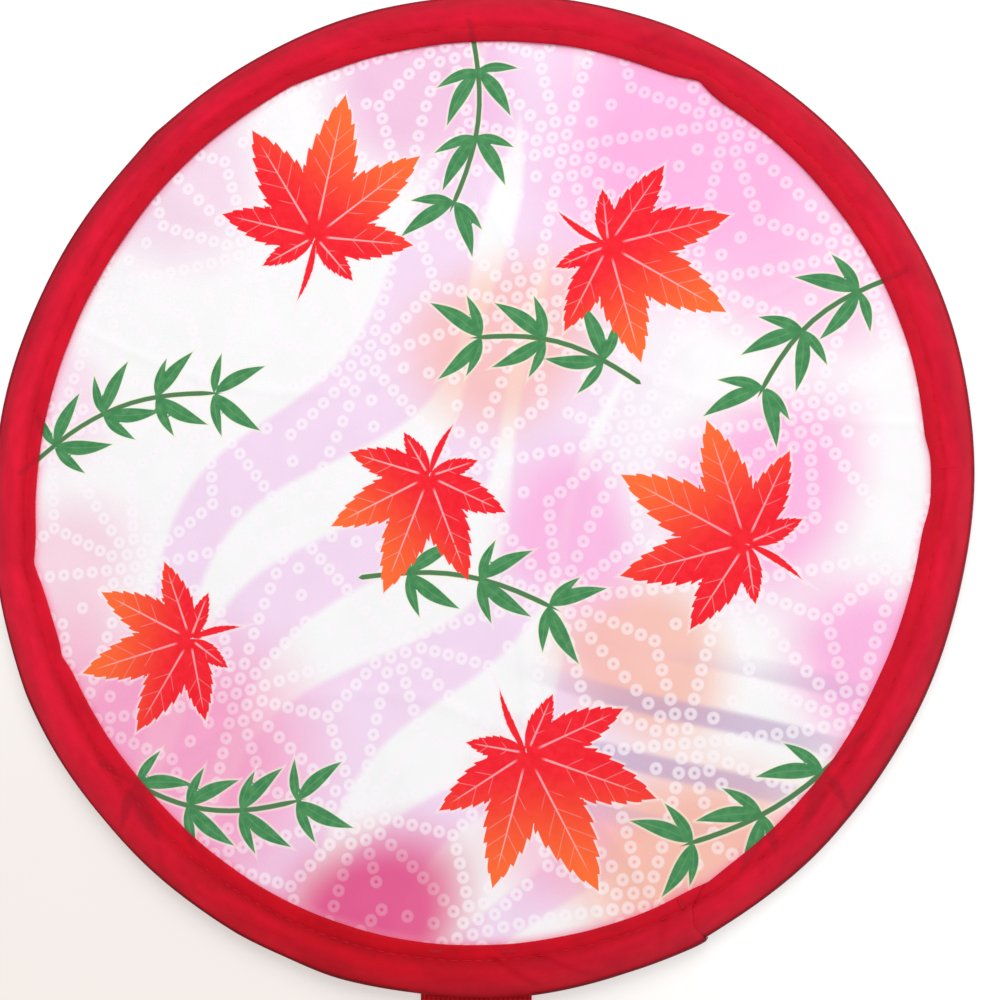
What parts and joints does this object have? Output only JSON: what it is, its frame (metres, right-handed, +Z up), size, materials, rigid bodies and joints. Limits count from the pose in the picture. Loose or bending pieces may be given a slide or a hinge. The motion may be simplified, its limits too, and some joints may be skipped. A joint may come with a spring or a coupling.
{
  "type": "pop-up hand fan",
  "caption": "Round pop-up hand fan: a printed cloth face held taut by a sprung hoop in a folded binding tape, with a looped elastic closing band at the rim.",
  "frame": {"origin": "on the plane the fan lies on, at the middle of its whole outline with the closing band laid out", "axes": "+Z up out of the printed face, +Y from the closing band towards the far rim, +X to the right seen from the face"},
  "size_m": [0.24, 0.3, 0.0068],
  "materials": {
    "face_cloth": "thin plain-weave polyester, printed pink and white",
    "binding_tape": "thin red nylon tape, slightly sheer",
    "elastic_band": "dark red ribbed woven elastic",
    "seam_thread": "red sewing thread",
    "spring_steel": "flat spring-steel strip"
  },
  "bodies": {
    "middle": {"cloth_middle": "face_cloth", "binding_left": "binding_tape", "binding_right": "binding_tape", "hoop_left": "spring_steel", "hoop_right": "spring_steel", "needle_thread_left": "seam_thread", "needle_thread_right": "seam_thread", "bobbin_thread_left": "seam_thread", "bobbin_thread_right": "seam_thread"},
    "upper_wing": {"cloth_upper": "face_cloth", "binding_upper": "binding_tape", "hoop_upper": "spring_steel", "needle_thread_upper": "seam_thread", "bobbin_thread_upper": "seam_thread"},
    "lower_wing": {"cloth_lower": "face_cloth", "binding_lower": "binding_tape", "binding_lap": "binding_tape", "hoop_lower_left": "spring_steel", "hoop_lower_right": "spring_steel", "hoop_ferrule": "spring_steel", "needle_thread_lower_left": "seam_thread", "needle_thread_lower_right": "seam_thread", "needle_thread_lap": "seam_thread", "bobbin_thread_lower": "seam_thread", "lap_tack": "seam_thread", "root_tack_left": "seam_thread", "root_tack_right": "seam_thread", "band_root": "elastic_band"},
    "band": {"closing_band": "elastic_band", "band_tack": "seam_thread"}
  },
  "joints": [
    {"name": "upper_fold", "type": "hinge", "parent": "middle", "child": "upper_wing", "pos_m": [0, 0.072, 0.0046], "axis": [1, 0, 0], "range_deg": [0, 90], "stiffness_Nm_per_rad": 0.1},
    {"name": "lower_fold", "type": "hinge", "parent": "middle", "child": "lower_wing", "pos_m": [0, -0.012, 0.0046], "axis": [-1, 0, 0], "range_deg": [0, 90], "stiffness_Nm_per_rad": 0.1},
    {"name": "band_swing", "type": "hinge", "parent": "lower_wing", "child": "band", "pos_m": [0, -0.0929, 0.0004], "axis": [-1, 0, 0], "range_deg": [-90, 90]}
  ],
  "couplings": [
    {"joint": "lower_fold", "follows": "upper_fold", "ratio": 1}
  ]
}
